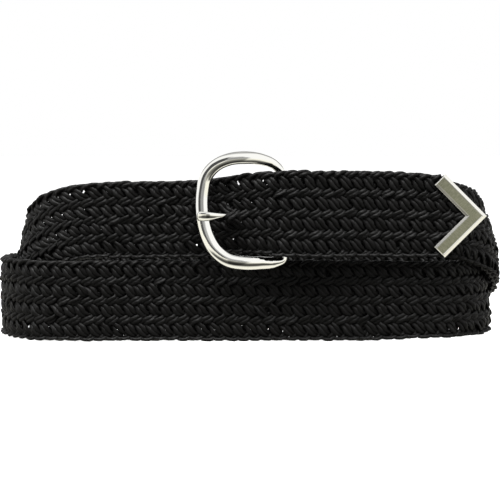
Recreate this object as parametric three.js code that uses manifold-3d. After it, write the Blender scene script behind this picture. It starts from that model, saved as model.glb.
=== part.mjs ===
// A braided belt, buckled and standing on its edge in two turns. Millimetres, +X to the right along
// the front, +Y away from it, +Z up, with the floor at z = 0 and the origin under the middle.
//
// The strap is one long flat braid. It is followed here from its pointed free end: along the front
// above the lower turn, down round the left end, along the back, round the right end, along the
// front on the floor, round behind again, up round the right end, and back along the front behind
// its own free end to the buckle, where it is folded round the frame's hinge bar.
import * as THREE from 'three';
import { mergeVertices } from 'three/addons/utils/BufferGeometryUtils.js';
import Module from 'manifold-3d';

const GAP = 0.3;

// Strap
const STRAP_THICKNESS = 3.0;
const STRAP_STEP = 4.0;
const LOWER_WIDTH = 34.4;
const LOWER_Z = LOWER_WIDTH / 2;
const FRONT_Y = -30.5;
const BACK_INNER_Y = 37.8;
const BACK_OUTER_Y = 42.0;
const FOLD_WIDTH = 31.2;
const FOLD_Z = 53.1;
const FOLD_GAP = 0.45;

// Buckle frame, a D-shaped loop whose hinge bar stands upright in the fold of the strap. Its other
// side comes forward, and the loop is bowed forward between the two. The bar is round at the hinge
// and flattened elsewhere: the flatness is its depth as a share of its width.
const BUCKLE_Y = -35.4;
const FRAME_SLANT = 0.099;
const FRAME_BOW = 3.5;
const FRAME_SPAN = 33.4;
const FRAME_FLATNESS = 0.7;
const FLAT_REACH = 4.0;
const HINGE_X = 13.4;
const HINGE_RADIUS = 1.9;
const FRAME_SIDES = 12;
const FRAME_STEPS = 3;

// Prong
const PRONG_Z = 52.6;
const PRONG_WIDTH = 4.0;
const PRONG_THICKNESS = 2.0;
const PRONG_STEPS = 16;
const PRONG_ROOT = 1.1;
const SLOT_WIDTH = PRONG_WIDTH + 2 * GAP;
const FOLD_SLOT_REACH = 7;

// Metal tip, a V-shaped channel over the strap's pointed end
const TIP_X = 98.0;
const TIP_Y = -36.0;
const TIP_Z = 53.0;
const TIP_ARM = 24.4;
const TIP_BAND = 6.2;
const TIP_WALL = 0.8;
const TIP_THICKNESS = STRAP_THICKNESS + 2 * (TIP_WALL + GAP);
const CLEAR = 2.0;
const STRAP_POINT_WIDTH = 1.0;
const STRAP_POINT_INSET = TIP_WALL + 0.5;
const STRAP_POINT_X = TIP_X - STRAP_POINT_INSET * Math.SQRT2 - STRAP_POINT_WIDTH / 2;

const radians = THREE.MathUtils.degToRad;

// A place on the strap's middle surface. The lean is in degrees, the top edge towards the inside
// of the coil. The crown is how far both edges curl to the inside.
const place = (x, y, z, lean, width, crown) => ({ x, y, z, lean, width, crown });

const FREE_END = [
  place(STRAP_POINT_X, TIP_Y, TIP_Z, 0, 34.6, 0),
  place(86, TIP_Y, TIP_Z, 0, 34.6, 0),
  place(76, TIP_Y, TIP_Z, 0, 34.8, 0),
  place(66, -36.3, 53.3, 0, 35.6, 0),
  place(54, -36.9, 53.7, 0, 36.0, 0),
  place(40, -39.7, 53.9, 0, 36.0, 0),
  place(26, -42.2, 53.9, 0, 36.2, 0),
  place(12, -42.6, 53.8, 0, 36.2, 0),
  place(3, -40.2, 53.6, -2, 35.0, 0.6),
  place(-6, -36.6, 53.0, -5, 33.6, 1.5),
  place(-14, -34.0, 52.2, -5, 33.0, 1.5),
  place(-22, -32.3, 51.5, -3, 32.8, 0.6),
  place(-34, -30.8, 51.2, 0, 32.4, 0),
  place(-46, FRONT_Y, 51.1, 0, 32.3, 0),
  place(-58, FRONT_Y + 0.1, 50.9, 1, 32.2, 0.2),
];
const BACK_INNER = [-46, -40, 40, 46].map((x) => place(x, BACK_INNER_Y, LOWER_Z, 0, LOWER_WIDTH, 0));
const LOWER_FRONT = [46, 40, -40, -46].map((x) => place(x, FRONT_Y, LOWER_Z, 0, LOWER_WIDTH, 0));
const BACK_OUTER = [-46, -40, 40, 46].map((x) => place(x, BACK_OUTER_Y, LOWER_Z, 0, LOWER_WIDTH, 0));
const FIXED_END = [
  place(55, -32.6, 52.8, 0, 33.2, 0),
  place(40, -35.9, 53.2, 0, 32.8, 0),
  place(26, -38.6, FOLD_Z, 0, 32.0, 0),
  place(HINGE_X + 2, -39.2, FOLD_Z, 0, FOLD_WIDTH, 0),
];
const FOLD = place(HINGE_X, BUCKLE_Y, FOLD_Z, 0, FOLD_WIDTH, 0);
const FOLDED_BACK = [
  place(HINGE_X + 2, -31.6, FOLD_Z, 0, FOLD_WIDTH, 0),
  place(21, -33.4, FOLD_Z, 0, FOLD_WIDTH, 0),
  place(28, -34.6, FOLD_Z, 0, FOLD_WIDTH, 0),
  place(36, -33.2, FOLD_Z, 0, FOLD_WIDTH, 0),
];

// The rounded ends of the coil: centre and radii in plan, height at the front and at the back, the
// degrees by which the climb half-way round lags, and the lean, crown and width there
const BENDS = {
  innerLeft: {
    x: -64.0, y: 3.9, rx: 36.1, ry: 34.0, front: 50.7, back: 17.2, lag: -14,
    lean: 13, crown: 2.6, width: 31.6,
  },
  innerRight: {
    x: 68.2, y: 3.7, rx: 34.6, ry: 34.2, front: 17.5, back: 17.5, lag: 0,
    lean: 9, crown: 2.0, width: 32.6,
  },
  outerLeft: {
    x: -76.0, y: 5.0, rx: 31.4, ry: 37.0, front: 17.0, back: 17.2, lag: 0,
    lean: 0, crown: 0.6, width: 33.8,
  },
  outerRight: {
    x: 69.0, y: 6.1, rx: 36.9, ry: 36.7, front: 52.0, back: 17.4, lag: 9,
    lean: 17, crown: 4.0, width: 32.2,
  },
};
const BEND_STEP = 21;

function bend(name, start, stop) {
  const b = BENDS[name];
  const side = Math.sign(b.x);
  const count = Math.round(Math.abs(stop - start) / BEND_STEP);
  return Array.from({ length: count + 1 }, (_, i) => {
    const turn = radians(start + ((stop - start) * i) / count);
    const out = Math.sin(turn);
    const drop = Math.cos(turn - radians(b.lag) * out);
    return place(
      b.x + side * b.rx * out,
      b.y - b.ry * Math.cos(turn),
      (b.front + b.back) / 2 + ((b.front - b.back) / 2) * drop,
      b.lean * out ** 2,
      b.width,
      b.crown * out ** 2,
    );
  });
}

const FOLD_ANGLES = [10, 42, 74, 106, 138, 170];

function fold(centre, radius) {
  return FOLD_ANGLES.map((angle) => {
    const turn = radians(angle);
    return { ...centre, x: centre.x - radius * Math.sin(turn), y: centre.y - radius * Math.cos(turn) };
  });
}

// A smooth curve through the places, with every value carried along it
function smooth(places, step) {
  const keys = Object.keys(places[0]);
  const last = places.length - 1;
  const vector = (p) => new THREE.Vector3(p.x, p.y, p.z);
  const reach = places.slice(1).map((p, i) => vector(p).distanceTo(vector(places[i])));
  const rate = (i, key) => (places[i + 1][key] - places[i][key]) / reach[i];
  const slope = (i, key) => {
    if (i === 0) return rate(0, key);
    if (i === last) return rate(last - 1, key);
    return (rate(i - 1, key) * reach[i] + rate(i, key) * reach[i - 1]) / (reach[i - 1] + reach[i]);
  };
  const along = [];
  for (let i = 0; i < last; i++) {
    const count = Math.max(1, Math.ceil(reach[i] / step));
    for (let k = 0; k < count; k++) {
      const t = k / count;
      const at = {};
      for (const key of keys) {
        at[key] = (2 * t ** 3 - 3 * t ** 2 + 1) * places[i][key]
          + (t ** 3 - 2 * t ** 2 + t) * reach[i] * slope(i, key)
          + (3 * t ** 2 - 2 * t ** 3) * places[i + 1][key]
          + (t ** 3 - t ** 2) * reach[i] * slope(i + 1, key);
      }
      along.push(at);
    }
  }
  along.push(places[last]);
  return along;
}

// A closed solid through rings of points that all have the same count, flat-capped at both ends
// or, where it is a loop, joined from the last ring to the first
function loft(rings, loop = false) {
  const sides = rings[0].length;
  const points = rings.flat();
  const index = [];
  const spans = loop ? rings.length : rings.length - 1;
  for (let i = 0; i < spans; i++) {
    for (let j = 0; j < sides; j++) {
      const a = i * sides + j;
      const b = i * sides + ((j + 1) % sides);
      const c = ((i + 1) % rings.length) * sides + j;
      const d = ((i + 1) % rings.length) * sides + ((j + 1) % sides);
      index.push(a, c, b, b, c, d);
    }
  }
  if (!loop) {
    const end = (rings.length - 1) * sides;
    for (let j = 1; j < sides - 1; j++) {
      index.push(0, j, j + 1);
      index.push(end, end + j + 1, end + j);
    }
  }
  const geometry = new THREE.BufferGeometry().setFromPoints(points);
  geometry.setIndex(index);
  return geometry;
}

// The strap as a band: each ring goes down its outer face and up its inner face
const POINTED_RINGS = 8;

function strapGeometry() {
  const radius = HINGE_RADIUS + FOLD_GAP + STRAP_THICKNESS / 2;
  const places = [
    ...FREE_END,
    ...bend('innerLeft', 8, 176),
    ...BACK_INNER,
    ...bend('innerRight', 176, 4),
    ...LOWER_FRONT,
    ...bend('outerLeft', 4, 176),
    ...BACK_OUTER,
    ...bend('outerRight', 176, 8),
    ...FIXED_END,
    ...fold(FOLD, radius),
    ...FOLDED_BACK,
  ];
  const along = smooth(places, STRAP_STEP);
  const up = new THREE.Vector3(0, 0, 1);
  const across = [-0.5, -0.25, 0, 0.25, 0.5];
  const point = (p) => new THREE.Vector3(p.x, p.y, p.z);
  const rings = along.map((p, i) => {
    const ahead = point(along[Math.min(i + 1, along.length - 1)]);
    const travel = ahead.sub(point(along[Math.max(i - 1, 0)])).normalize();
    const rise = up.clone().addScaledVector(travel, -travel.z).normalize();
    const outward = rise.clone().cross(travel);
    const lean = radians(p.lean);
    const top = rise.clone().multiplyScalar(Math.cos(lean)).addScaledVector(outward, -Math.sin(lean));
    const face = outward.clone().multiplyScalar(Math.cos(lean)).addScaledVector(rise, Math.sin(lean));
    const pointed = STRAP_POINT_WIDTH + 2 * (STRAP_POINT_X - p.x);
    const width = i < POINTED_RINGS ? Math.min(p.width, pointed) : p.width;
    const at = (v, side) => point(p)
      .addScaledVector(top, v * width)
      .addScaledVector(face, side * STRAP_THICKNESS / 2 - p.crown * (2 * v) ** 2);
    return [...across.toReversed().map((v) => at(v, 1)), ...across.map((v) => at(v, -1))];
  });
  return loft(rings);
}

// The frame's centre line and half the bar's width, round the loop from the lower end of the hinge
const FRAME = [
  { x: HINGE_X, z: 38.6, half: HINGE_RADIUS },
  { x: HINGE_X, z: 45.0, half: HINGE_RADIUS },
  { x: HINGE_X, z: 61.0, half: HINGE_RADIUS },
  { x: HINGE_X, z: 68.2, half: HINGE_RADIUS },
  { x: 12.6, z: 71.6, half: 1.9 },
  { x: 10.4, z: 74.0, half: 2.0 },
  { x: 4.6, z: 76.4, half: 2.4 },
  { x: -2.0, z: 77.1, half: 2.65 },
  { x: -8.6, z: 76.4, half: 2.6 },
  { x: -14.4, z: 73.9, half: 2.6 },
  { x: -18.2, z: 69.8, half: 2.6 },
  { x: -19.8, z: 63.4, half: 2.7 },
  { x: -19.95, z: 56.6, half: 2.75 },
  { x: -19.2, z: 50.4, half: 2.8 },
  { x: -17.4, z: 44.2, half: 2.9 },
  { x: -14.3, z: 38.7, half: 3.1 },
  { x: -9.2, z: 34.8, half: 3.1 },
  { x: -2.4, z: 33.3, half: 2.9 },
  { x: 4.2, z: 33.0, half: 2.55 },
  { x: 10.2, z: 33.1, half: 2.15 },
  { x: 13.7, z: 35.0, half: 1.95 },
];

function frameY(x) {
  const bow = FRAME_BOW * Math.sin((Math.PI * (HINGE_X - x)) / FRAME_SPAN);
  return BUCKLE_Y + FRAME_SLANT * (x - HINGE_X) - bow;
}

function frameGeometry() {
  const middle = FRAME.map((p) => new THREE.Vector3(p.x, frameY(p.x), p.z));
  const path = new THREE.CatmullRomCurve3(middle, true);
  const count = FRAME.length * FRAME_STEPS;
  const forward = new THREE.Vector3(FRAME_SLANT, -1, 0).normalize();
  const rings = Array.from({ length: count }, (_, i) => {
    const centre = path.getPoint(i / count);
    const inward = path.getTangent(i / count).cross(forward).normalize();
    const here = FRAME[Math.floor(i / FRAME_STEPS)].half;
    const next = FRAME[(Math.floor(i / FRAME_STEPS) + 1) % FRAME.length].half;
    const half = THREE.MathUtils.lerp(here, next, (i % FRAME_STEPS) / FRAME_STEPS);
    const flattened = THREE.MathUtils.clamp((HINGE_X - centre.x) / FLAT_REACH, 0, 1);
    const depth = half * THREE.MathUtils.lerp(1, FRAME_FLATNESS, flattened);
    return Array.from({ length: FRAME_SIDES }, (_, j) => {
      const angle = (2 * Math.PI * j) / FRAME_SIDES;
      return centre.clone()
        .addScaledVector(inward, half * Math.cos(angle))
        .addScaledVector(forward, depth * Math.sin(angle));
    });
  });
  return loft(rings, true);
}

// The prong's tongue runs from the ring on the hinge bar, up through the braid, over the left bar
function tongueGeometry(width, thickness) {
  const path = new THREE.CatmullRomCurve3([
    new THREE.Vector3(HINGE_X - HINGE_RADIUS - PRONG_ROOT, BUCKLE_Y - 0.1, PRONG_Z),
    new THREE.Vector3(0, -35.8, PRONG_Z),
    new THREE.Vector3(-6, -36.6, PRONG_Z),
    new THREE.Vector3(-11, -39.4, PRONG_Z),
    new THREE.Vector3(-16, -42.0, PRONG_Z),
    new THREE.Vector3(-21, -42.3, PRONG_Z),
  ]);
  const section = new THREE.Shape([
    new THREE.Vector2(-width / 2, -thickness / 2),
    new THREE.Vector2(width / 2, -thickness / 2),
    new THREE.Vector2(width / 2, thickness / 2),
    new THREE.Vector2(-width / 2, thickness / 2),
  ]);
  return new THREE.ExtrudeGeometry(section, { steps: PRONG_STEPS, extrudePath: path });
}

function extruded(shape, depth, curveSegments = 12) {
  return new THREE.ExtrudeGeometry(shape, { depth, bevelEnabled: false, curveSegments });
}

function ringGeometry() {
  const inner = HINGE_RADIUS + GAP;
  const shape = new THREE.Shape().absarc(0, 0, inner + PRONG_THICKNESS, 0, 2 * Math.PI);
  shape.holes.push(new THREE.Path().absarc(0, 0, inner, 0, 2 * Math.PI, true));
  return extruded(shape, PRONG_WIDTH).translate(HINGE_X, BUCKLE_Y, PRONG_Z - PRONG_WIDTH / 2);
}

// The slot through the fold that the prong's ring works in
function foldSlotGeometry() {
  const radius = HINGE_RADIUS + STRAP_THICKNESS + 2 * GAP;
  const shape = new THREE.Shape()
    .moveTo(FOLD_SLOT_REACH, -radius)
    .lineTo(FOLD_SLOT_REACH, radius)
    .absarc(0, 0, radius, Math.PI / 2, 1.5 * Math.PI);
  return extruded(shape, SLOT_WIDTH).translate(HINGE_X, BUCKLE_Y, PRONG_Z - SLOT_WIDTH / 2);
}

// An upright V pointing to +X, its arms square-cut: inset from the tip's outer edges, with arms and
// bands of the given length and width
function vGeometry(inset, arm, band, thickness) {
  const half = Math.SQRT1_2;
  const point = -inset / half;
  const end = new THREE.Vector2(-(arm + inset) * half, (arm - inset) * half);
  const back = band * half;
  const shape = new THREE.Shape([
    new THREE.Vector2(point, 0),
    new THREE.Vector2(end.x, end.y),
    new THREE.Vector2(end.x - back, end.y - back),
    new THREE.Vector2(point - band / half, 0),
    new THREE.Vector2(end.x - back, -end.y + back),
    new THREE.Vector2(end.x, -end.y),
  ]);
  return extruded(shape, thickness)
    .translate(0, 0, -thickness / 2)
    .rotateX(Math.PI / 2)
    .translate(TIP_X, TIP_Y, TIP_Z);
}

const wasm = await Module();
wasm.setup();

function solid(geometry) {
  const bare = geometry.clone();
  bare.deleteAttribute('normal');
  bare.deleteAttribute('uv');
  const merged = mergeVertices(bare, 1e-4);
  return new wasm.Manifold(new wasm.Mesh({
    numProp: 3,
    vertProperties: new Float32Array(merged.attributes.position.array),
    triVerts: new Uint32Array(merged.index.array),
  }));
}

function geometryOf(body) {
  const mesh = body.getMesh();
  const geometry = new THREE.BufferGeometry();
  geometry.setAttribute('position', new THREE.BufferAttribute(mesh.vertProperties, 3));
  geometry.setIndex(new THREE.BufferAttribute(mesh.triVerts, 1));
  geometry.computeVertexNormals();
  return geometry;
}

const prong = solid(ringGeometry()).add(solid(tongueGeometry(PRONG_WIDTH, PRONG_THICKNESS)));
const prongSlot = solid(tongueGeometry(SLOT_WIDTH, PRONG_THICKNESS + 2 * GAP));
const strap = solid(strapGeometry()).subtract(solid(foldSlotGeometry())).subtract(prongSlot);
const tip = solid(vGeometry(0, TIP_ARM, TIP_BAND, TIP_THICKNESS))
  .subtract(solid(vGeometry(TIP_WALL, TIP_ARM + CLEAR, TIP_BAND + CLEAR, STRAP_THICKNESS + 2 * GAP)));

function part(name, body, color, roughness, metalness) {
  const material = new THREE.MeshStandardMaterial({ color, roughness, metalness });
  const mesh = new THREE.Mesh(geometryOf(body), material);
  mesh.name = name;
  return mesh;
}

const belt = new THREE.Group();
belt.add(part('braided_strap', strap, 0x17171a, 0.6, 0.0));
belt.add(part('buckle_frame', solid(frameGeometry()), 0xd8d5cc, 0.12, 1.0));
belt.add(part('prong', prong, 0xcfccc0, 0.15, 1.0));
belt.add(part('strap_tip', tip, 0xb5b2a5, 0.3, 1.0));

export default belt;
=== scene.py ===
# A black braided belt with a polished pin buckle and a metal tip, buckled, wound into two turns and
# standing on its edge. +X is right along the front of the coil, +Y to its back, +Z up. The studio's
# sizes are in metres, and the belt's own in millimetres.
import math

import bmesh
import bpy
import numpy as np
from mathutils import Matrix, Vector


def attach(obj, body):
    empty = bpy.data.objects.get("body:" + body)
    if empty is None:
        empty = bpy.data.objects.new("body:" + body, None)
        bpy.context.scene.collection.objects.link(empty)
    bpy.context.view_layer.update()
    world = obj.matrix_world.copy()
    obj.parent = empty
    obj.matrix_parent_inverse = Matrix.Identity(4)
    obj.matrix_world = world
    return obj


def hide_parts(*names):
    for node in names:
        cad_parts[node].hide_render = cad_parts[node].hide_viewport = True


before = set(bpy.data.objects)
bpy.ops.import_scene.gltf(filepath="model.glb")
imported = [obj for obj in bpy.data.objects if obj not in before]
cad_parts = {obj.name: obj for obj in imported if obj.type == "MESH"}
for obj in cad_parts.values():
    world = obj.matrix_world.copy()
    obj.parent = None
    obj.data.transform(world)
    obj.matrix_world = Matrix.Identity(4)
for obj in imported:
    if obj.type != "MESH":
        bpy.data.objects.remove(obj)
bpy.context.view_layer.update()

# Studio: a pale floor and a white sky, with a broad soft light overhead and one at each side. What
# polished metal mirrors is a sky with darker parts and a floor that is dark close in front, which
# give it its lines. None of this is the object.
# The camera's place, what it points at, and its focal length and picture in pixels
EYE = Vector((0.0, -0.782, 0.087))
AIM = Vector((0.0, -0.032, 0.0385))
FOCAL_PIXELS = 1800.0
PICTURE_PIXELS = 500.0
SENSOR = 36.0
WHITE = (1.0, 1.0, 1.0, 1.0)
FLOOR_SIZE = 12.0
FLOOR_WHITE, FLOOR_ROUGHNESS = (0.32, 0.32, 0.315), 0.9
FLOOR_GLOW = 0.9
# Columns: name, width and height, watts and place. Each one is turned to the middle of the front
LAMPS = [
    ("overhead", (0.9, 0.6), 45.0, (-0.10, -0.30, 0.80)),
    ("left_side", (0.5, 0.5), 3.0, (-0.80, -0.12, 0.25)),
    ("right_side", (0.5, 0.5), 3.0, (0.80, -0.20, 0.25)),
]
LAMP_TARGET = Vector((0.0, -0.03, 0.03))
# The sky's strength where it is seen, where it lights dull surfaces and where metal mirrors it
SKY_SEEN, SKY_ON_MATT, SKY_MIRRORED = 1.0, 0.40, 1.25
# Darker parts of the mirrored sky: the turn to the right of the camera from and to and that edge's
# blur, the height above the horizon from and to and its blur, in degrees, and the share of light left
SKY_SHADES = [
    (-44, -9, 6, -9, 24, 4, 0.07),
    (-9, 24, 5, -90, 6, 3, 0.32),
    (-9, 14, 4, 6, 14, 3, 0.40),
    (-190, -90, 8, 24, 90, 8, 0.35),
    (90, 190, 8, 24, 90, 8, 0.35),
    (-90, 90, 8, 62, 90, 8, 0.50),
]
# The mirrored floor is white close to the belt. Further out it has the light of the sky at this
# height in degrees, with a patch in front of the belt that is dark near it and bright further out.
# The patch's columns: distance in front of the origin, and the share of light there
FLOOR_RISE = -45.0
FLOOR_PATCH = [(0.078, 0.06), (0.110, 0.08), (0.160, 0.40), (0.220, 0.80), (0.420, 1.80)]
PATCH_LEFT, PATCH_RIGHT, PATCH_BLUR = -0.085, 0.120, 0.020
# The white close to the belt: its strength, and how far in front of the origin it fades and is gone
NEAR_GLOW, NEAR_FADES, NEAR_GONE = 1.20, 0.056, 0.076
MIRRORED_SIZE, MIRRORED_HEIGHT = 0.9, -0.002
MIRRORED_TINT = (1.0, 0.98, 0.88, 1.0)
# Where the metal is in plan: directions on the mirrored floor are measured from there
METAL_X, METAL_Y = -0.020, -0.038

camera_data = bpy.data.cameras.new("camera")
camera_data.sensor_width = SENSOR
camera_data.lens = FOCAL_PIXELS * SENSOR / PICTURE_PIXELS
camera = bpy.data.objects.new("camera", camera_data)
camera.location = EYE
camera.rotation_euler = (AIM - EYE).to_track_quat("-Z", "Y").to_euler()
bpy.context.collection.objects.link(camera)
bpy.context.scene.camera = camera
bpy.context.scene.view_settings.view_transform = "Standard"


def principled(name, color, roughness, metallic=0.0):
    """A new material, with its node tree and shader."""
    made = bpy.data.materials.new(name)
    made.use_nodes = True
    shader = made.node_tree.nodes["Principled BSDF"]
    shader.inputs["Base Color"].default_value = (*color, 1.0)
    shader.inputs["Roughness"].default_value = roughness
    shader.inputs["Metallic"].default_value = metallic
    return made, made.node_tree, shader


def node(tree, kind, **settings):
    """A new node with its settings."""
    made = tree.nodes.new(kind)
    for setting, value in settings.items():
        setattr(made, setting, value)
    return made


def feed(tree, value, socket):
    """Give a node's input its value, which is a number or another node's output."""
    if isinstance(value, (int, float)):
        socket.default_value = value
    else:
        tree.links.new(value, socket)


def calculate(tree, operation, *values):
    """The result of a sum on sockets or numbers."""
    made = node(tree, "ShaderNodeMath", operation=operation)
    for value, socket in zip(values, made.inputs):
        feed(tree, value, socket)
    return made.outputs[0]


def eased(tree, value, start, stop):
    """A smooth step from 0 to 1 as the value goes from start to stop."""
    made = node(tree, "ShaderNodeMapRange", interpolation_type="SMOOTHSTEP")
    for socket, given in (("Value", value), ("From Min", start), ("From Max", stop)):
        feed(tree, given, made.inputs[socket])
    return made.outputs["Result"]


def between(tree, value, start, stop, blur):
    """A band from 0 up to 1 and back, with both edges blurred."""
    return calculate(tree, "SUBTRACT", eased(tree, value, start - blur, start + blur),
                     eased(tree, value, stop - blur, stop + blur))


def mixed(tree, first, second, share):
    """The first value where the share is 0 and the second where it is 1."""
    return calculate(tree, "MULTIPLY_ADD", share, calculate(tree, "SUBTRACT", second, first), first)


def parts_of(tree, vector):
    """The X, Y and Z of a vector."""
    made = node(tree, "ShaderNodeSeparateXYZ")
    tree.links.new(vector, made.inputs[0])
    return made.outputs


def coordinates(tree, kind):
    """The X, Y and Z of a kind of texture coordinate."""
    return parts_of(tree, node(tree, "ShaderNodeTexCoord").outputs[kind])


def turn_of(tree, right, away):
    """The turn to the right of the camera in degrees, of a way that goes right and away from it."""
    return calculate(tree, "DEGREES", calculate(
        tree, "ARCTAN2", right, calculate(tree, "MULTIPLY", away, -1.0)))


def shaded_sky(tree, turn, rise):
    """The mirrored sky's brightness at a turn and a height above the horizon in degrees."""
    light = SKY_MIRRORED
    for turn_from, turn_to, turn_blur, rise_from, rise_to, rise_blur, left in SKY_SHADES:
        inside = calculate(tree, "MULTIPLY", between(tree, turn, turn_from, turn_to, turn_blur),
                           between(tree, rise, rise_from, rise_to, rise_blur))
        light = calculate(tree, "MULTIPLY", mixed(tree, 1.0, left, inside), light)
    return light


def studio_floor(name, size, height, material):
    """A flat square that isn't part of the object."""
    form = bmesh.new()
    bmesh.ops.create_grid(form, x_segments=1, y_segments=1, size=size / 2)
    bmesh.ops.translate(form, vec=(0.0, 0.0, height), verts=form.verts)
    mesh = bpy.data.meshes.new(name)
    form.to_mesh(mesh)
    form.free()
    mesh.materials.append(material)
    square = bpy.data.objects.new(name, mesh)
    bpy.context.collection.objects.link(square)
    return square


# Polished pieces have the sky to mirror, so the lamps leave them out
polished_pieces = bpy.data.collections.new("polished_pieces")
for name, size, watts, place in LAMPS:
    light = bpy.data.lights.new(name, "AREA")
    light.shape = "RECTANGLE"
    light.size, light.size_y = size
    light.energy = watts
    lamp = bpy.data.objects.new(name, light)
    lamp.location = place
    lamp.rotation_euler = (LAMP_TARGET - Vector(place)).to_track_quat("-Z", "Y").to_euler()
    lamp.light_linking.receiver_collection = polished_pieces
    bpy.context.collection.objects.link(lamp)

floor_material, floor_tree, floor_shader = principled("floor_white", FLOOR_WHITE, FLOOR_ROUGHNESS)
floor_shader.inputs["Emission Color"].default_value = WHITE
floor_ray = node(floor_tree, "ShaderNodeLightPath")
feed(floor_tree, calculate(floor_tree, "MULTIPLY", floor_ray.outputs["Is Camera Ray"], FLOOR_GLOW),
     floor_shader.inputs["Emission Strength"])
floor = studio_floor("floor", FLOOR_SIZE, 0.0, floor_material)
floor.visible_glossy = False

sky = bpy.data.worlds.new("sky")
sky.use_nodes = True
sky_tree = sky.node_tree
sky_shader = sky_tree.nodes["Background"]
sky_shader.inputs["Color"].default_value = WHITE
sky_x, sky_y, sky_z = coordinates(sky_tree, "Generated")
sky_rise = calculate(sky_tree, "DEGREES", calculate(sky_tree, "ARCSINE", sky_z))
sky_ray = node(sky_tree, "ShaderNodeLightPath")
sky_strength = calculate(sky_tree, "MULTIPLY", sky_ray.outputs["Is Glossy Ray"],
                         shaded_sky(sky_tree, turn_of(sky_tree, sky_x, sky_y), sky_rise))
for ray, strength in (("Is Diffuse Ray", SKY_ON_MATT), ("Is Camera Ray", SKY_SEEN)):
    sky_strength = calculate(sky_tree, "MULTIPLY_ADD", sky_ray.outputs[ray], strength, sky_strength)
feed(sky_tree, sky_strength, sky_shader.inputs["Strength"])
bpy.context.scene.world = sky

mirrored_material, mirrored_tree, mirrored_shader = principled("floor_mirrored", (0, 0, 0), 1.0)
mirrored_shader.inputs["Specular IOR Level"].default_value = 0.0
mirrored_shader.inputs["Emission Color"].default_value = MIRRORED_TINT
floor_x, floor_y, _ = coordinates(mirrored_tree, "Object")
ahead = calculate(mirrored_tree, "MULTIPLY", floor_y, -1.0)
patch_left = FLOOR_PATCH[0][1]
for (near, before), (far, after) in zip(FLOOR_PATCH, FLOOR_PATCH[1:]):
    patch_left = calculate(mirrored_tree, "MULTIPLY_ADD", eased(mirrored_tree, ahead, near, far),
                           after - before, patch_left)
in_patch = between(mirrored_tree, floor_x, PATCH_LEFT, PATCH_RIGHT, PATCH_BLUR)
floor_turn = turn_of(mirrored_tree, calculate(mirrored_tree, "SUBTRACT", floor_x, METAL_X),
                     calculate(mirrored_tree, "SUBTRACT", floor_y, METAL_Y))
floor_far = calculate(mirrored_tree, "MULTIPLY", mixed(mirrored_tree, 1.0, patch_left, in_patch),
                      shaded_sky(mirrored_tree, floor_turn, FLOOR_RISE))
far_share = eased(mirrored_tree, ahead, NEAR_FADES, NEAR_GONE)
feed(mirrored_tree, mixed(mirrored_tree, NEAR_GLOW, floor_far, far_share),
     mirrored_shader.inputs["Emission Strength"])
mirrored_floor = studio_floor("floor_mirrored", MIRRORED_SIZE, MIRRORED_HEIGHT, mirrored_material)
mirrored_floor.visible_camera = False
mirrored_floor.visible_diffuse = False
mirrored_floor.visible_shadow = False

# Buckle frame: a D-shaped loop cast in one piece, nickel-plated and polished. Its bar is flattened,
# but round at the straight side, which is the hinge bar inside the fold of the strap. The loop is
# bowed forward.
MM = 0.001
BUCKLE_Y = -35.4
HINGE_X, HINGE_RADIUS = 13.4, 1.9
# The loop goes back by this share of the way to the right, and is bowed this far over this width
FRAME_SLANT, FRAME_BOW, FRAME_SPAN = 0.099, 3.5, 33.4
# The bar's thickness as a share of its width, and how far from the hinge bar it gets there
FRAME_FLATNESS, FLAT_REACH = 0.7, 4.0
# The lower bar's face is turned down by this many degrees, from one height to another
FRAME_TWIST, TWIST_FROM_Z, TWIST_TO_Z = 16.0, 46.0, 37.0
FRAME_STEP = 0.35
FRAME_SIDES = 32
# Columns: x, z and half the bar's width, round the loop from the lower end of the hinge bar
FRAME = [
    (HINGE_X, 38.6, HINGE_RADIUS), (HINGE_X, 45.0, HINGE_RADIUS), (HINGE_X, 61.0, HINGE_RADIUS),
    (HINGE_X, 68.2, HINGE_RADIUS), (12.6, 71.6, 1.9), (10.4, 74.0, 2.0), (4.6, 76.4, 2.4),
    (-2.0, 77.1, 2.65), (-8.6, 76.4, 2.6), (-14.2, 73.8, 2.65), (-17.8, 69.8, 2.7),
    (-19.5, 63.4, 2.8), (-19.8, 56.6, 2.85), (-19.1, 50.4, 2.9), (-17.3, 44.2, 3.0),
    (-14.2, 38.8, 3.1), (-9.2, 35.0, 3.15), (-2.4, 33.6, 3.1), (4.2, 33.4, 2.9),
    (10.2, 33.6, 2.45), (13.7, 35.0, 1.95),
]
NICKEL_COLOR, NICKEL_ROUGHNESS = (0.77, 0.765, 0.73), 0.08
# Dull marks of fingers and cloth: how many a metre, and how fine
MARK_SCALE, MARK_DETAIL = 160.0, 3.0
# Hairlines: how fine and how sharp, how many a metre along the polishing and across it, and its
# slant in radians
HAIR_DETAIL, HAIR_SHARPNESS = 4.0, 0.65
POLISH_HAIRS, POLISH_SLANT = (400.0, 400.0, 5000.0), 0.6
# The noise's values between which each dulls the metal, how much rougher it is there, and how deep
# the hairlines are in metres
MARK_DULLS, HAIR_DULLS = (0.45, 0.75), (0.50, 0.80)
POLISH_MARKS, POLISH_DEPTH = 0.05, 1.2e-6


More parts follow.
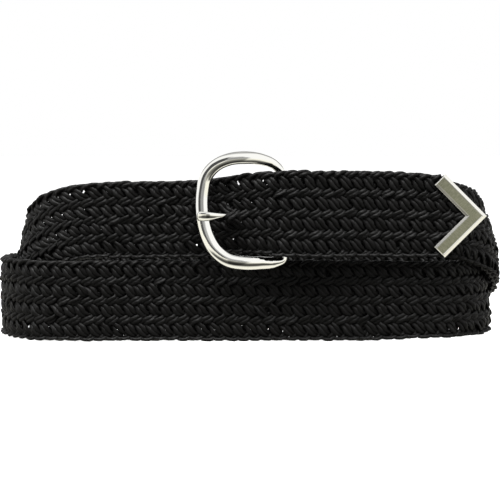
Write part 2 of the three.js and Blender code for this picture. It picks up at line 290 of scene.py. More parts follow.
def smooth(places, step):
    """A smooth curve through the places, with every value carried along it."""
    rows = np.array(places, float)
    reach = np.linalg.norm(np.diff(rows[:, :3], axis=0), axis=1)[:, None]
    rate = np.diff(rows, axis=0) / reach
    slope = np.vstack([
        rate[:1],
        (rate[:-1] * reach[1:] + rate[1:] * reach[:-1]) / (reach[:-1] + reach[1:]),
        rate[-1:],
    ])
    along = []
    for i, length in enumerate(reach[:, 0]):
        count = max(1, math.ceil(length / step))
        t = (np.arange(count) / count)[:, None]
        along.append(
            (2 * t**3 - 3 * t**2 + 1) * rows[i] + (t**3 - 2 * t**2 + t) * length * slope[i]
            + (3 * t**2 - 2 * t**3) * rows[i + 1] + (t**3 - t**2) * length * slope[i + 1]
        )
    return np.vstack([*along, rows[-1:]])


def unit(vectors):
    """Each row's vector at a length of 1."""
    return vectors / np.linalg.norm(vectors, axis=1)[:, None]


def ease(share):
    """A share from 0 to 1, smoothed at both ends."""
    return share * share * (3 - 2 * share)


def pressed_bars(name, runs, closed, sides):
    """Bars of oval section in one mesh, each a run of middles and of half widths and half depths as
    vectors. Gives also where each of its points lies across its section."""
    curve = bpy.data.curves.new(name, "CURVE")
    curve.dimensions = "3D"
    curve.bevel_depth = MM
    # A curve's round section has four sides, and two more for each step of its resolution
    curve.bevel_resolution = (sides - 4) // 2
    for middles, _, _ in runs:
        spline = curve.splines.new("POLY")
        spline.points.add(len(middles) - 1)
        spline.points.foreach_set("co", np.column_stack([middles * MM, np.ones(len(middles))]).ravel())
        spline.use_cyclic_u = closed
        spline.use_smooth = True
    round_bars = bpy.data.objects.new(name, curve)
    mesh = bpy.data.meshes.new_from_object(round_bars)
    bpy.data.objects.remove(round_bars)
    middles, wide, deep = (np.concatenate(column) for column in zip(*runs))
    rings = np.empty(len(mesh.vertices) * 3)
    mesh.vertices.foreach_get("co", rings)
    rings = rings.reshape(-1, sides, 3) / MM - middles[:, None]
    turned_wide = np.einsum("ijk,ik->ij", rings, unit(wide))
    turned_deep = np.einsum("ijk,ik->ij", rings, unit(deep))
    rings = (middles[:, None] + turned_wide[:, :, None] * wide[:, None]
             + turned_deep[:, :, None] * deep[:, None])
    mesh.vertices.foreach_set("co", (rings * MM).ravel())
    mesh.name = name
    return mesh, turned_wide, turned_deep


def close_ends(mesh, sides):
    """Cap the open ends of a mesh's bars."""
    form = bmesh.new()
    form.from_mesh(mesh)
    bmesh.ops.holes_fill(form, edges=form.edges, sides=sides)
    bmesh.ops.recalc_face_normals(form, faces=form.faces)
    form.to_mesh(mesh)
    form.free()


def frame_y(x):
    """How far back the middle of the frame's bar is."""
    bow = FRAME_BOW * np.sin(math.pi * (HINGE_X - x) / FRAME_SPAN)
    return BUCKLE_Y + FRAME_SLANT * (x - HINGE_X) - bow


def add_piece(name, mesh, material, node_name):
    """An object of the mesh that rides with the belt and stands for one of its nodes."""
    mesh.materials.append(material)
    piece = bpy.data.objects.new(name, mesh)
    bpy.context.collection.objects.link(piece)
    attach(piece, "root")
    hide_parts(node_name)
    return piece


def keep_from_lamps(piece):
    """Leave a polished piece out of what the lamps shine on."""
    polished_pieces.objects.link(piece)
    polished_pieces.collection_objects[-1].light_linking.link_state = "EXCLUDE"


def noise(tree, place, scale, detail=2.0, sharpness=0.5):
    """A noise texture's value at a place."""
    made = node(tree, "ShaderNodeTexNoise")
    for socket, value in (("Vector", place), ("Scale", scale), ("Detail", detail),
                          ("Roughness", sharpness)):
        feed(tree, value, made.inputs[socket])
    return made.outputs["Fac"]


def raised(tree, height, unit_height):
    """The normal of a surface with a relief in units of so many metres."""
    made = node(tree, "ShaderNodeBump")
    feed(tree, height, made.inputs["Height"])
    feed(tree, unit_height, made.inputs["Distance"])
    return made.outputs[0]


# Handled metal: hairlines along one way, and the dull marks of fingers and cloth. Grain is where the
# hairlines are, and Height is their depth in metres
worn_metal = bpy.data.node_groups.new("worn_metal", "ShaderNodeTree")
for socket, way, kind in (
    ("Place", "INPUT", "NodeSocketVector"), ("Hairlines", "INPUT", "NodeSocketVector"),
    ("Roughness", "INPUT", "NodeSocketFloat"), ("Marks", "INPUT", "NodeSocketFloat"),
    ("Depth", "INPUT", "NodeSocketFloat"), ("Grain", "OUTPUT", "NodeSocketFloat"),
    ("Roughness", "OUTPUT", "NodeSocketFloat"), ("Height", "OUTPUT", "NodeSocketFloat"),
):
    worn_metal.interface.new_socket(socket, in_out=way, socket_type=kind)
worn_in = node(worn_metal, "NodeGroupInput").outputs
worn_out = node(worn_metal, "NodeGroupOutput").inputs
worn_marks = noise(worn_metal, worn_in["Place"], MARK_SCALE, MARK_DETAIL)
worn_hairs = noise(worn_metal, worn_in["Hairlines"], 1.0, HAIR_DETAIL, HAIR_SHARPNESS)
worn_dull = calculate(worn_metal, "ADD", eased(worn_metal, worn_marks, *MARK_DULLS),
                      eased(worn_metal, worn_hairs, *HAIR_DULLS))
feed(worn_metal, worn_hairs, worn_out["Grain"])
feed(worn_metal, calculate(worn_metal, "MULTIPLY_ADD", worn_dull, worn_in["Marks"], worn_in["Roughness"]),
     worn_out["Roughness"])
feed(worn_metal, calculate(worn_metal, "MULTIPLY", worn_hairs, worn_in["Depth"]), worn_out["Height"])


def wear(tree, shader, place, hairlines, roughness, marks, depth):
    """Wear on a metal material, with its hairlines laid out by a vector. Gives where they are."""
    worn = node(tree, "ShaderNodeGroup", node_tree=worn_metal)
    for socket, value in (("Place", place), ("Hairlines", hairlines), ("Roughness", roughness),
                          ("Marks", marks), ("Depth", depth)):
        feed(tree, value, worn.inputs[socket])
    feed(tree, worn.outputs["Roughness"], shader.inputs["Roughness"])
    feed(tree, raised(tree, worn.outputs["Height"], 1.0), shader.inputs["Normal"])
    return worn.outputs["Grain"]


def polished_metal(name, color, roughness):
    """A polished metal, with faint hairlines slanting across it."""
    material, tree, shader = principled(name, color, roughness, 1.0)
    place = node(tree, "ShaderNodeTexCoord").outputs["Object"]
    slant = node(tree, "ShaderNodeMapping")
    slant.inputs["Rotation"].default_value = (0.0, POLISH_SLANT, 0.0)
    slant.inputs["Scale"].default_value = POLISH_HAIRS
    feed(tree, place, slant.inputs["Vector"])
    wear(tree, shader, place, slant.outputs[0], roughness, POLISH_MARKS, POLISH_DEPTH)
    return material


nickel = polished_metal("polished_nickel", NICKEL_COLOR, NICKEL_ROUGHNESS)
# The closed loop is smoothed as the middle one of three turns
frame_rows = [(x, frame_y(x), z, half) for x, z, half in FRAME]
frame_loop = smooth(frame_rows * 3, FRAME_STEP)
one_turn = len(frame_loop) // 3
frame_loop = frame_loop[one_turn:2 * one_turn]
frame_middle, frame_half = frame_loop[:, :3], frame_loop[:, 3:]
frame_forward = unit(np.array([[FRAME_SLANT, -1.0, 0.0]]))
frame_heading = unit(np.roll(frame_middle, -1, axis=0) - np.roll(frame_middle, 1, axis=0))
frame_side = unit(np.cross(frame_heading, frame_forward))
twist = math.radians(FRAME_TWIST) * ease(
    np.clip((TWIST_FROM_Z - frame_middle[:, 2:]) / (TWIST_FROM_Z - TWIST_TO_Z), 0, 1))
frame_face = frame_forward * np.cos(twist) + frame_side * np.sin(twist)
frame_side = frame_side * np.cos(twist) - frame_forward * np.sin(twist)
flattened = np.clip((HINGE_X - frame_middle[:, :1]) / FLAT_REACH, 0, 1)
frame_depth = frame_half * (1 + (FRAME_FLATNESS - 1) * flattened)
frame_mesh, _, _ = pressed_bars(
    "buckle_bar", [(frame_middle, frame_side * frame_half, frame_face * frame_depth)], True,
    FRAME_SIDES)
keep_from_lamps(add_piece("buckle_bar", frame_mesh, nickel, "buckle_frame"))

# Prong: a bar of oval section in the same plated metal, curled cold round the hinge bar. It lies
# behind the free end, comes up between two strands as a narrow neck and rests with its blunt, wide
# end on the curved side of the frame.
PRONG_Z = 52.6
CURL_RADIUS = 3.2
CURL_ANGLES = (150, 120, 90, 60, 30, 0, -30, -60, -90, -112)
CURL_HALF_DEPTH, CURL_HALF_HEIGHT = 1.0, 2.0
PRONG_STEP = 0.3
PRONG_SIDES = 28
# Columns: x, y, z, and half the bar's depth and height, from where it leaves the curl to its end
PRONG_BAR = [
    (9.2, -36.6, 52.6, 0.95, 1.9), (6.0, -35.8, 52.6, 0.8, 1.5), (0.0, -35.8, 52.7, 0.62, 1.0),
    (-5.0, -36.4, 53.1, 0.5, 0.55), (-8.4, -38.4, 53.5, 0.42, 0.30), (-10.6, -39.6, 53.4, 0.5, 0.66),
    (-12.6, -40.5, 53.25, 0.7, 1.10), (-15.0, -41.5, 53.05, 0.88, 1.60), (-17.4, -41.9, 53.0, 0.98, 2.0),
    (-19.4, -41.6, 53.0, 1.0, 2.15), (-20.9, -41.1, 53.0, 0.95, 2.15),
]
# The front of its wide end is turned down: how far its top comes forward for each millimetre of
# height, and from which place and over what length it turns
PRONG_LEAN, LEAN_FROM_X, LEAN_REACH = 0.46, -10.0, 7.0
# Share of the end's depth gone on, and the share of its section left there
PRONG_END = ((0.4, 0.93), (0.7, 0.74), (0.9, 0.45))

curl = [
    (HINGE_X + CURL_RADIUS * math.cos(a), BUCKLE_Y + CURL_RADIUS * math.sin(a), PRONG_Z,
     CURL_HALF_DEPTH, CURL_HALF_HEIGHT)
    for a in np.radians(CURL_ANGLES)
]
prong_rows = smooth(curl + PRONG_BAR, PRONG_STEP)
prong_heading = unit(np.gradient(prong_rows[:, :3], axis=0))
prong_last, prong_onward = prong_rows[-1], prong_heading[-1:]
prong_end = [
    [*(prong_last[:3] + prong_onward[0] * gone * prong_last[3]), *(prong_last[3:] * left)]
    for gone, left in PRONG_END
]
prong_rows = np.vstack([prong_rows, prong_end])
prong_heading = np.vstack([prong_heading, np.repeat(prong_onward, len(PRONG_END), axis=0)])
leaning = np.clip((LEAN_FROM_X - prong_rows[:, :1]) / LEAN_REACH, 0, 1)
prong_up = np.array([[0.0, 0.0, 1.0]]) + leaning * PRONG_LEAN * np.array([[0.0, -1.0, 0.0]])
prong_out = unit(np.cross(prong_heading, prong_up))
prong_up = unit(prong_up)
prong_mesh, _, _ = pressed_bars(
    "prong_bar", [(prong_rows[:, :3], prong_up * prong_rows[:, 4:], prong_out * prong_rows[:, 3:4])],
    False, PRONG_SIDES)
close_ends(prong_mesh, PRONG_SIDES)
keep_from_lamps(add_piece("prong_bar", prong_mesh, nickel, "prong"))

# Strap: seventeen strands, each of two smooth black cords side by side, plaited flat over two and
# under two. They turn back at both edges. One length makes both turns of the coil, from the point
# of the free end, over the buckle and round to the fold at its hinge bar.
# Each strand follows the one before it by a stitch along the strap, and goes on by half a stitch for
# each column of the braid that it crosses
STRANDS = 17
COLUMNS = STRANDS - 1
STITCH = 5.05
CORD_RADIUS = 0.80
# Half the cord's thickness between the edges, its width as a share of the gap between the middles
# of a pair, the least and most of half that gap, and half of it at the edges
CORD_THICK, CORD_SPREAD = 0.60, 1.12
PAIR_HALF = (0.80, 1.12)
EDGE_HALF = 0.70
CORD_SIDES = 8
POINTS_A_COLUMN = 3
# Columns from an edge over which a strand takes the form that it has between the edges
EDGE_REACH = 1.6
# How high a float stands, and columns from an edge over which it gets there
FLOAT_HEIGHT, EDGE_WRAP = 1.00, 0.8
# How far past the outermost column a strand goes where it turns back, in columns
EDGE_LOOP = -0.05
# How many columns ahead the wave of floats is on strands on their way up and on their way down
RISING_LEAD, FALLING_LEAD = -1.5, 0.5
# Strands on their way up lie steeper than those on their way down. How far a pair closes between its
# floats and how pointed they are
STEEP_PINCH, FLAT_PINCH = 0.04, 0.12
STEEP_PEAK, FLAT_PEAK = 0.00, 0.20
# The rows of steep floats are higher than the rows of flat ones by this share each way. Floats are
# bowed along the strap by the next lengths, and their crowns are turned by the last
ROW_SWELL = 0.14
STEEP_BOW, FLAT_BOW = -0.35, 0.20
STEEP_TURN, FLAT_TURN = -0.12, 0.34
# How far hand and wear have moved a strand: along, across and forward, the share of a pair's gap, and
# the pair's roll in radians
WANDER_ALONG, WANDER_ACROSS, WANDER_FORWARD, WANDER_GAP, WANDER_ROLL = 0.30, 0.20, 0.07, 0.07, 0.35
# The random walk has a knot at every so many columns, some to spare, and is smoothed over some points
WANDER_SEED = 17
WANDER_KNOT, WANDER_SPARE = 3, 3
WANDER_SMOOTHED = 2 * POINTS_A_COLUMN + 3
# Crossings that each strand has to spare at both ends, before it is cut to the strap's length
SPARE_CROSSINGS = 4
ROUTE_STEP = 1.0
LOWER_WIDTH, LOWER_Z = 34.2, 17.3
FRONT_Y, BACK_INNER_Y, BACK_OUTER_Y = -30.5, 37.8, 42.0
STRAP_HALF, FOLD_CLEARANCE = 1.5, 0.45
FOLD_WIDTH, FOLD_Z, FOLD_RADIUS = 31.2, 53.1, HINGE_RADIUS + FOLD_CLEARANCE + STRAP_HALF
# The point of the metal tip, how far inside its outer edge the cords end, and the strap's own point
TIP_X, TIP_Y, TIP_Z = 98.0, -36.0, 53.0
TIP_INSET = 2.2
STRAP_POINT_X = 95.66
# The route's columns: x, y, z, lean in degrees, width, and crown, which is how far its edges lie back
LEAN, WIDTH, CROWN = 3, 4, 5
FREE_END = [
    (STRAP_POINT_X, TIP_Y, TIP_Z, 0, 34.6, 0),
    (86, TIP_Y, TIP_Z, 0, 34.6, 0),
    (76, TIP_Y, TIP_Z, 0, 34.8, 0),
    (66, -36.3, 53.3, 0, 35.6, 0),
    (54, -36.9, 53.7, 0, 36.0, 0),
    (40, -39.7, 53.9, 0, 36.0, 0),
    (26, -42.2, 53.9, 0, 36.2, 0),
    (12, -42.6, 54.1, 0, 35.5, 0),
    (3, -40.2, 54.1, -2, 33.9, 0.6),
    (-6, -36.6, 53.4, -5, 32.7, 1.5),
    (-14, -34.0, 52.5, -5, 32.3, 1.5),
    (-22, -32.3, 51.5, -3, 32.8, 0.6),
    (-34, -30.8, 51.2, 0, 32.4, 0),
    (-46, FRONT_Y, 51.1, 0, 32.3, 0),
    (-58, FRONT_Y + 0.1, 50.9, 1, 32.2, 0.2),
]
STRAIGHT_XS = (-46, -40, 40, 46)
FIXED_END = [
    (55, -32.6, 52.8, 0, 33.2, 0),
    (40, -35.9, 53.2, 0, 32.8, 0),
    (26, -38.6, FOLD_Z, 0, 32.0, 0),
    (HINGE_X + 2, -39.2, FOLD_Z, 0, FOLD_WIDTH, 0),
]
FOLD_ANGLES = (10, 42, 74, 106, 138, 170)
FOLDED_BACK = [
    (HINGE_X + 2, -31.6, FOLD_Z, 0, FOLD_WIDTH, 0),
    (21, -33.4, FOLD_Z, 0, FOLD_WIDTH, 0),
    (28, -34.6, FOLD_Z, 0, FOLD_WIDTH, 0),
    (36, -33.2, FOLD_Z, 0, FOLD_WIDTH, 0),
]
# Centre and radii in plan, front and back heights, lag of the climb in degrees, the lean and crown
# half way round, and the width
BENDS = {
    "inner_left": dict(x=-64.0, y=3.9, rx=36.1, ry=34.0, front=50.7, back=17.2, lag=-14,
                       lean=13, crown=2.6, width=31.6),
    "inner_right": dict(x=68.2, y=3.7, rx=34.6, ry=34.2, front=17.5, back=17.5, lag=0,
                        lean=9, crown=2.0, width=32.6),
    "outer_left": dict(x=-76.0, y=5.0, rx=31.4, ry=37.0, front=17.2, back=17.3, lag=0,
                       lean=0, crown=0.6, width=33.8),
    "outer_right": dict(x=69.0, y=6.1, rx=36.9, ry=36.7, front=52.0, back=17.4, lag=9,
                        lean=17, crown=4.0, width=32.2),
}
BEND_STEP = 21


def straight(xs, y):
    """Places along a straight stretch of the lower turn."""
    return [(x, y, LOWER_Z, 0, LOWER_WIDTH, 0) for x in xs]


def bend(name, start, stop):
    """Places round one end of the coil, from one turn in degrees to another."""
    b = BENDS[name]
    places = []
    for turn in np.radians(np.linspace(start, stop, round(abs(stop - start) / BEND_STEP) + 1)):
        out = math.sin(turn)
        drop = math.cos(turn - math.radians(b["lag"]) * out)
        places.append((
            b["x"] + math.copysign(b["rx"], b["x"]) * out,
            b["y"] - b["ry"] * math.cos(turn),
            (b["front"] + b["back"]) / 2 + (b["front"] - b["back"]) / 2 * drop,
            b["lean"] * out**2, b["width"], b["crown"] * out**2,
        ))
    return places


def fold():
    """Places round the hinge bar."""
    return [
        (HINGE_X - FOLD_RADIUS * math.sin(a), BUCKLE_Y - FOLD_RADIUS * math.cos(a), FOLD_Z,
         0, FOLD_WIDTH, 0)
        for a in np.radians(FOLD_ANGLES)
    ]


# Bends go from one turn to another, where 0 is at the front of the coil and 180 at its back
route = smooth(
    FREE_END + bend("inner_left", 8, 176) + straight(STRAIGHT_XS, BACK_INNER_Y)
    + bend("inner_right", 176, 4) + straight(STRAIGHT_XS[::-1], FRONT_Y)
    + bend("outer_left", 4, 176) + straight(STRAIGHT_XS, BACK_OUTER_Y)
    + bend("outer_right", 176, 8) + FIXED_END + fold() + FOLDED_BACK,
    ROUTE_STEP,
)
# The strap's own ways at each step: along it, up its width and out of its face
middle = route[:, :3]
travel = unit(np.gradient(middle, axis=0))
rise = unit(np.array([0.0, 0.0, 1.0]) - travel[:, 2:] * travel)
outward = np.cross(rise, travel)
lean = np.radians(route[:, LEAN])[:, None]
top = rise * np.cos(lean) - outward * np.sin(lean)
face = outward * np.cos(lean) + rise * np.sin(lean)
travelled = np.concatenate([[0.0], np.cumsum(np.linalg.norm(np.diff(middle, axis=0), axis=1))])
strap_length = travelled[-1]


def at(s, values):
    """Values carried along the route, read at distances s from the free end."""
    return np.stack([np.interp(s, travelled, column) for column in values.T], axis=1)


def breadth(s):
    """Width between the middles of the outermost cords."""
    return np.interp(s, travelled, route[:, WIDTH]) - 2 * CORD_RADIUS


# The place where the prong comes up through the free end, how far along the strands make way for it,
# and the oval that it opens there
EXIT_X, EXIT_REACH = -9.6, 16.0
OPENING_ALONG, OPENING_UP = 1.8, 1.5
# How steeply the strands' way aside ends at its reach, how soon it ends outside the oval, and the
# least share of the oval that counts as a distance from its middle
EXIT_STEEPNESS, OPENING_POWER, OPENING_CORE = 1.5, 3, 0.1
# The strands lie this far in front of the prong's root, on a ridge of this half width. The lift ends
# over this length before the opening
CLOTH_HALF, RIDGE_HALF, LIFT_END = 1.35, 2.6, 1.2
# The prong's last rows, which are those that may show in front, and where the free end's bend begins
PRONG_FRONT_ROWS = 60
FIRST_BEND_X = -60
free_rows = slice(0, int(np.argmax(middle[:, 0] < FIRST_BEND_X)))
exit_s = np.interp(-EXIT_X, -middle[free_rows, 0], travelled[free_rows])
prong_front = prong_rows[prong_rows[:, 1] < BUCKLE_Y][-PRONG_FRONT_ROWS:]
prong_front = prong_front[np.argsort(prong_front[:, 0])]


def round_prong(s, across, height):
    """Strands near the prong, moved aside by it and, towards its root, lifted in front of it."""
    width = breadth(s)
    exit_across = (PRONG_Z - np.interp(s, travelled, middle[:, 2])) / width
    along = s - exit_s
    up = (across - exit_across) * width
    near = np.clip(EXIT_STEEPNESS - np.abs(along) / EXIT_REACH * EXIT_STEEPNESS, 0, 1)
    away = np.maximum(np.hypot(along / OPENING_ALONG, up / OPENING_UP), OPENING_CORE)
    push = 1 + ((1 + away**-OPENING_POWER) ** (1 / OPENING_POWER) - 1) * near
    s = exit_s + along * push
    up = up * push
    across = exit_across + up / width
    x, y = at(s, middle[:, :2]).T
    metal = np.interp(x, prong_front[:, 0], prong_front[:, 1] - prong_front[:, 3])
    need = np.clip(y - metal + CLOTH_HALF, 0, None) * (x > EXIT_X) * (near > 0)
    fade = np.clip((exit_s - s) / LIFT_END, 0, 1)
    return s, across, height + need * fade * np.exp(-(up / RIDGE_HALF) ** 2)


def on_strap(s, across, height):
    """Points in millimetres from the distance along, the part of the width and the height."""
    crown = np.interp(s, travelled, route[:, CROWN]) * (2 * across) ** 2
    return (at(s, middle) + at(s, top) * (across * breadth(s))[:, None]
            + at(s, face) * (height - crown)[:, None])


chance = np.random.default_rng(WANDER_SEED)


def wander(count, size):
    """A smooth random walk about zero, with one value for each step of a strand."""
    spacing = WANDER_KNOT * POINTS_A_COLUMN
    knots = chance.normal(0.0, size, count // spacing + WANDER_SPARE)
    loose = np.interp(np.arange(count) / spacing, np.arange(len(knots)), knots)
    window = np.hanning(WANDER_SMOOTHED)
    return np.convolve(loose, window / window.sum(), mode="same")


def strand_cords(number):
    """The two cords of a strand: middles, half widths, half thicknesses and the length gone."""
    crossing = COLUMNS + 1
    first = -SPARE_CROSSINGS * crossing
    last = math.ceil(2 * strap_length / STITCH) + SPARE_CROSSINGS * crossing
    step = np.arange(first * POINTS_A_COLUMN, last * POINTS_A_COLUMN) / POINTS_A_COLUMN
    gone_across = step % crossing
    falling = (step // crossing) % 2 == 1
    from_edge = np.minimum(gone_across, crossing - gone_across)
    turning = np.clip(1 - from_edge, 0, 1)
    rounding = turning ** 2 / 2 - EDGE_LOOP * turning
    column = gone_across - 0.5 + np.where(gone_across < crossing / 2, rounding, -rounding)
    wave = (gone_across + np.where(falling, FALLING_LEAD, RISING_LEAD)) * math.pi / 2
    inner = ease(np.clip(from_edge / EDGE_REACH, 0, 1))
    swell = ROW_SWELL * np.where(falling, -1.0, 1.0)
    column = column - swell * 2 / math.pi * np.cos(wave) * inner
    across = column / COLUMNS - 0.5
    across = np.where(falling, -across, across)
    peak = np.where(falling, FLAT_PEAK, STEEP_PEAK) * inner
    height = FLOAT_HEIGHT * (np.sin(wave) - peak * np.sin(3 * wave))
    height = height * ease(np.clip(from_edge / EDGE_WRAP, 0, 1))
    s = (step / 2 + number) * STITCH
    s = s - np.where(falling, FLAT_BOW, STEEP_BOW) * inner * np.cos(wave)
    s = s + np.where(falling, FLAT_TURN, STEEP_TURN) * inner * np.cos(3 * wave)
    s = s + wander(len(s), WANDER_ALONG)
    across = across + wander(len(s), WANDER_ACROSS) * inner / LOWER_WIDTH
    height = height + wander(len(s), WANDER_FORWARD)
    pinch = np.where(falling, FLAT_PINCH, STEEP_PINCH) * np.cos(wave) ** 2
    squeeze = (1 - pinch) * (1 + wander(len(s), WANDER_GAP))
    swing = inner * math.pi / 2 * np.where(falling, 1.0, -1.0) + wander(len(s), WANDER_ROLL)
    s, across, height = round_prong(s, across, height)
    kept = (s > 0) & (s < strap_length)
    s, across, height, squeeze, swing, inner = (
        values[kept] for values in (s, across, height, squeeze, swing, inner)
    )
    line = on_strap(s, across, height)
    heading = unit(np.gradient(line, axis=0))
    facing = at(s, face) * np.sin(swing)[:, None] + at(s, top) * np.cos(swing)[:, None]
    beside = unit(np.cross(heading, facing))
    facing = np.cross(beside, heading)
    room = STITCH / 4 * np.abs(np.sum(heading * at(s, top), axis=1))
    half = EDGE_HALF + (np.clip(room, *PAIR_HALF) - EDGE_HALF) * inner
    wide = CORD_RADIUS + (half * CORD_SPREAD - CORD_RADIUS) * inner
    thick = CORD_RADIUS + (CORD_THICK - CORD_RADIUS) * inner
    half = half * squeeze
    gone = np.concatenate([[0.0], np.cumsum(np.linalg.norm(np.diff(line, axis=0), axis=1))])
    return [
        (line + side * beside * half[:, None], beside * wide[:, None], facing * thick[:, None], gone)
        for side in (1, -1)
    ]


# The stretch of the strap that may lie in the tip: right of the one place and in front of the other
TIP_STRETCH_X, TIP_STRETCH_Y = 70, -33.5


def inside_tip(points):
    """Whether points of the strap don't stand out past the metal tip."""
    x, y, z = points.T
    return (x < TIP_STRETCH_X) | (y > TIP_STRETCH_Y) | ((TIP_X - x) - np.abs(z - TIP_Z) > TIP_INSET)


def vector_of(tree, *parts):
    """A vector of up to three values."""
    made = node(tree, "ShaderNodeCombineXYZ")
    for value, socket in zip(parts, made.inputs):
        feed(tree, value, socket)
    return made.outputs[0]


CORD_BLACK, CORD_ROUGHNESS, CORD_SHINE = (0.0024, 0.0023, 0.0022), 0.42, 0.052
# Twisted yarn: plies that wind round the cord once in this length, and the fine fibres along them. The
# depths are in millimetres
PLIES, PLY_LENGTH = 3, 5.4
FIBRE_SCALE, FIBRE_STRETCH = 9.0, 0.12
PLY_DEPTH, FIBRE_DEPTH = 0.07, 0.03
cord_material, cord_tree, cord_shader = principled("black_cord", CORD_BLACK, CORD_ROUGHNESS)
cord_shader.inputs["Specular IOR Level"].default_value = CORD_SHINE
cord_way = node(cord_tree, "ShaderNodeAttribute", attribute_name="cord_way")
cord_wide, cord_deep, cord_along = parts_of(cord_tree, cord_way.outputs["Vector"])
ply_turn = calculate(cord_tree, "ADD", calculate(cord_tree, "ARCTAN2", cord_deep, cord_wide),
                     calculate(cord_tree, "MULTIPLY", cord_along, 2 * math.pi / PLY_LENGTH))
ply_crown = calculate(cord_tree, "ABSOLUTE", calculate(
    cord_tree, "SINE", calculate(cord_tree, "MULTIPLY", ply_turn, PLIES / 2)))
fibre_place = vector_of(
    cord_tree, calculate(cord_tree, "COSINE", ply_turn), calculate(cord_tree, "SINE", ply_turn),
    calculate(cord_tree, "MULTIPLY", cord_along, FIBRE_STRETCH))
relief = calculate(cord_tree, "ADD", calculate(cord_tree, "MULTIPLY", ply_crown, PLY_DEPTH), calculate(
    cord_tree, "MULTIPLY", noise(cord_tree, fibre_place, FIBRE_SCALE), FIBRE_DEPTH))
feed(cord_tree, raised(cord_tree, relief, MM), cord_shader.inputs["Normal"])

SHORTEST_RUN = 4
for number in range(STRANDS):
    name = f"strand_{number + 1:02d}"
    runs = []
    for rows in strand_cords(number):
        inside = inside_tip(rows[0])
        breaks = np.flatnonzero(np.diff(inside.astype(int))) + 1
        for keep, *run in zip(*(np.split(v, breaks) for v in (inside, *rows))):
            if keep[0] and len(keep) >= SHORTEST_RUN:
                runs.append(run)
    mesh, turned_wide, turned_deep = pressed_bars(name, [run[:3] for run in runs], False, CORD_SIDES)
    along = np.repeat(np.concatenate([run[3] for run in runs])[:, None], CORD_SIDES, axis=1)
    layer = mesh.attributes.new("cord_way", "FLOAT_VECTOR", "POINT")
    layer.data.foreach_set("vector", np.stack([turned_wide, turned_deep, along], axis=2).ravel())
    close_ends(mesh, CORD_SIDES)
    add_piece(name, mesh, cord_material, "braided_strap")

# Metal tip: a V-shaped channel of sheet metal, pressed over the strap's pointed end. Its face is
# brushed, and the bevels that run round it are polished.
TIP_ARM = 24.4
TIP_EDGE = 0.09
TIP_RIM_HEIGHT, TIP_FACE_HEIGHT = 2.6, 2.45
TIP_END_CHAMFER = 0.35
# Columns: distance in from the outer edge, and height to the front, round the channel's section
TIP_SECTION = [
    (0.0, -2.1), (0.0, 1.9), (1.15, TIP_RIM_HEIGHT), (1.3, TIP_RIM_HEIGHT), (1.5, TIP_FACE_HEIGHT),
    (5.2, TIP_FACE_HEIGHT), (6.2, 2.1), (6.2, 1.8),
    (0.8, 1.8), (0.8, -1.8), (6.2, -1.8), (6.2, -2.3), (5.8, -2.6), (0.6, -2.6),
]
DIAGONAL = math.sqrt(0.5)
# The upper arm is extruded this many times its length, cut off level with the point and mirrored
TIP_OVERRUN = 1.2
# Within this, two places are one, and a face points straight forward
TIP_SAME = 0.001
# The cut ends' front edges lie further forward than this, and sharp edges have a wider angle than this
TIP_FRONT_Y, TIP_SHARP = -2.0, 0.2
TIP_COLOR, TIP_ROUGHNESS = (0.74, 0.73, 0.68), 0.14
BRUSHED_DARK, BRUSHED_PALE = (0.25, 0.26, 0.18, 1.0), (0.41, 0.40, 0.295, 1.0)
BRUSHED_ROUGHNESS, BRUSHED_MARKS, BRUSHED_DEPTH = 0.32, 0.10, 6.0e-6
# Brush lines a metre along the arm and across it, and the grain from which and to which they pale
BRUSH_ALONG, BRUSH_ACROSS = 2600.0, 420.0
BRUSH_PALES = (0.30, 0.70)


def all_of(form):
    """Every vertex, edge and face of a form."""
    return form.verts[:] + form.edges[:] + form.faces[:]


def bevel_tip(edges, offset, segments):
    """Break edges of the tip."""
    bmesh.ops.bevel(tip_form, geom=edges, affect="EDGES", offset=offset, segments=segments,
                    profile=0.5, material=-1)


tip_form = bmesh.new()
tip_form.faces.new([
    tip_form.verts.new((-(TIP_ARM + inset) * DIAGONAL, -height, (TIP_ARM - inset) * DIAGONAL))
    for inset, height in TIP_SECTION
])
grown = bmesh.ops.extrude_face_region(tip_form, geom=tip_form.faces[:])["geom"]
bmesh.ops.translate(tip_form, vec=Vector((DIAGONAL, 0, -DIAGONAL)) * TIP_ARM * TIP_OVERRUN,
                    verts=[part for part in grown if isinstance(part, bmesh.types.BMVert)])
bmesh.ops.bisect_plane(tip_form, geom=all_of(tip_form), plane_co=(0, 0, 0), plane_no=(0, 0, 1),
                       clear_inner=True)
bmesh.ops.mirror(tip_form, geom=all_of(tip_form), axis="Z", merge_dist=TIP_SAME)
bmesh.ops.remove_doubles(tip_form, verts=tip_form.verts, dist=TIP_SAME)
bmesh.ops.recalc_face_normals(tip_form, faces=tip_form.faces)
bevel_tip([
    edge for edge in tip_form.edges
    if all(v.co.y < TIP_FRONT_Y and (abs(v.co.z) - v.co.x) * DIAGONAL > TIP_ARM - TIP_SAME
           for v in edge.verts)
], TIP_END_CHAMFER, 1)
bevel_tip([edge for edge in tip_form.edges if edge.is_manifold and edge.calc_face_angle() > TIP_SHARP],
          TIP_EDGE, 2)
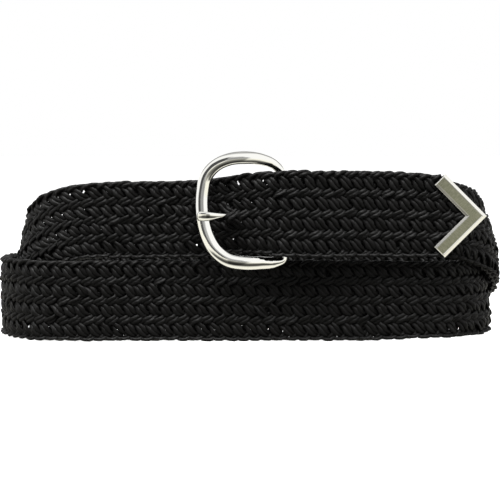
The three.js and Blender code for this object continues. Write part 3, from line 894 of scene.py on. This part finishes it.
for facet in tip_form.faces:
    facing_front = facet.normal.y < TIP_SAME - 1
    facet.material_index = int(
        facing_front and abs(facet.calc_center_median().y + TIP_FACE_HEIGHT) < TIP_SAME)
bmesh.ops.scale(tip_form, vec=(MM, MM, MM), verts=tip_form.verts)
bmesh.ops.translate(tip_form, vec=Vector((TIP_X, TIP_Y, TIP_Z)) * MM, verts=tip_form.verts)
tip_mesh = bpy.data.meshes.new("tip_channel")
tip_form.to_mesh(tip_mesh)
tip_form.free()

tip_polish = polished_metal("tip_polish", TIP_COLOR, TIP_ROUGHNESS)
tip_brushed, brushed_tree, brushed_shader = principled(
    "tip_brushed", BRUSHED_DARK[:3], BRUSHED_ROUGHNESS, 1.0)
brushed_place = node(brushed_tree, "ShaderNodeTexCoord").outputs["Object"]
brushed_x, _, brushed_z = parts_of(brushed_tree, brushed_place)
from_point = calculate(brushed_tree, "SUBTRACT", TIP_X * MM, brushed_x)
from_middle = calculate(
    brushed_tree, "ABSOLUTE", calculate(brushed_tree, "SUBTRACT", brushed_z, TIP_Z * MM))
brush_lines = vector_of(
    brushed_tree,
    calculate(brushed_tree, "MULTIPLY", calculate(brushed_tree, "ADD", from_point, from_middle),
              BRUSH_ALONG),
    calculate(brushed_tree, "MULTIPLY", calculate(brushed_tree, "SUBTRACT", from_point, from_middle),
              BRUSH_ACROSS))
brush_grain = wear(brushed_tree, brushed_shader, brushed_place, brush_lines, BRUSHED_ROUGHNESS,
                   BRUSHED_MARKS, BRUSHED_DEPTH)
brushed_color = node(brushed_tree, "ShaderNodeMix", data_type="RGBA")
brushed_color.inputs["A"].default_value = BRUSHED_DARK
brushed_color.inputs["B"].default_value = BRUSHED_PALE
feed(brushed_tree, eased(brushed_tree, brush_grain, *BRUSH_PALES), brushed_color.inputs["Factor"])
feed(brushed_tree, brushed_color.outputs["Result"], brushed_shader.inputs["Base Color"])
tip_mesh.materials.append(tip_polish)
keep_from_lamps(add_piece("tip_channel", tip_mesh, tip_brushed, "strap_tip"))
